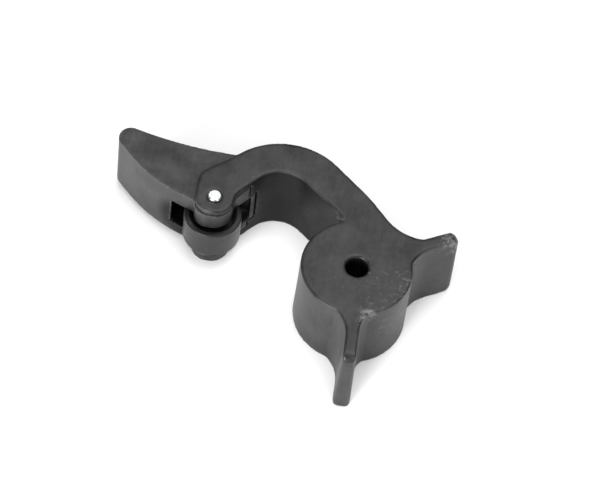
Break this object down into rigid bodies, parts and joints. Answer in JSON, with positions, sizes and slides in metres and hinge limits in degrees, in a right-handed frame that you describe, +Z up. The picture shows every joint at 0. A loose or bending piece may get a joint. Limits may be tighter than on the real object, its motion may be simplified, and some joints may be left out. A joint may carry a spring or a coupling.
{
  "type": "stair gate latch",
  "caption": "Moulded stair gate latch: hub with bolt bore, thumb wings and a hooked arm whose fork carries a swinging beak lever and a roller on a steel pin.",
  "frame": {"origin": "centre of the bolt bore in the body's bottom face", "axes": "+Z up along the bolt bore, +X right, away from the arm's fork, so that the beak points to -X and the front thumb wing to -Y"},
  "size_m": [0.1275, 0.0895, 0.0319],
  "materials": {
    "body_plastic": "black glass-filled nylon, satin, with pale scuffs along its edges",
    "lever_plastic": "black glass-filled nylon, satin, with pale scuffs along its edges",
    "roller_plastic": "black acetal, semi-gloss and worn on its rim",
    "pin_steel": "bright zinc-plated steel"
  },
  "bodies": {
    "latch_body": {"latch_body": "body_plastic", "pivot_pin": "pin_steel"},
    "beak_lever": {"beak_lever": "lever_plastic"},
    "roller": {"roller": "roller_plastic"}
  },
  "joints": [
    {"name": "lever_swing", "type": "hinge", "parent": "latch_body", "child": "beak_lever", "pos_m": [-0.0538, 0.02096, 0.015], "axis": [0, 0, 1], "range_deg": [0, 150]},
    {"name": "roller_spin", "type": "hinge", "parent": "latch_body", "child": "roller", "pos_m": [-0.0538, 0.02096, 0.015], "axis": [0, 0, 1], "continuous": true}
  ]
}
